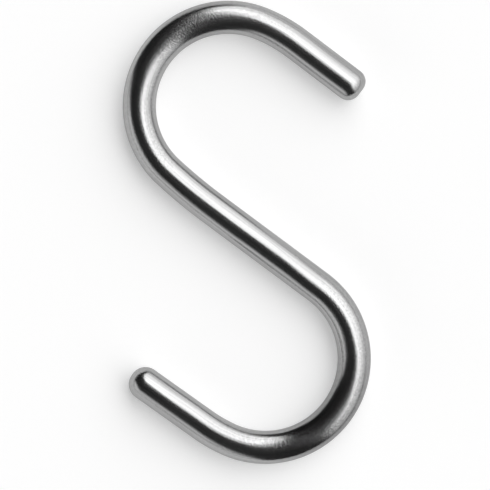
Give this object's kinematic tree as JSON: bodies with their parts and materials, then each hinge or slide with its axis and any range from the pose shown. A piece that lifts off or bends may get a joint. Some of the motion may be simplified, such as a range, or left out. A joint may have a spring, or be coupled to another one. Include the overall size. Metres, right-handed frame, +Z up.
{
  "type": "s hook",
  "caption": "Flat S hook bent from round steel rod, with an open hook at each end, facing opposite ways, to hang things from a rail.",
  "frame": {"origin": "on the bench that the hook lies on, half way between the centres of its two bends", "axes": "+Y along the hook towards the upper bend, the one that goes over a rail; +X across the hook, towards the upper bend's free leg; +Z up from the bench, through the rod's thickness"},
  "size_m": [0.0446, 0.0834, 0.006],
  "materials": {
    "steel": "satin, with fine lines along the rod"
  },
  "bodies": {
    "root": {"s_hook": "steel"}
  },
  "joints": []
}
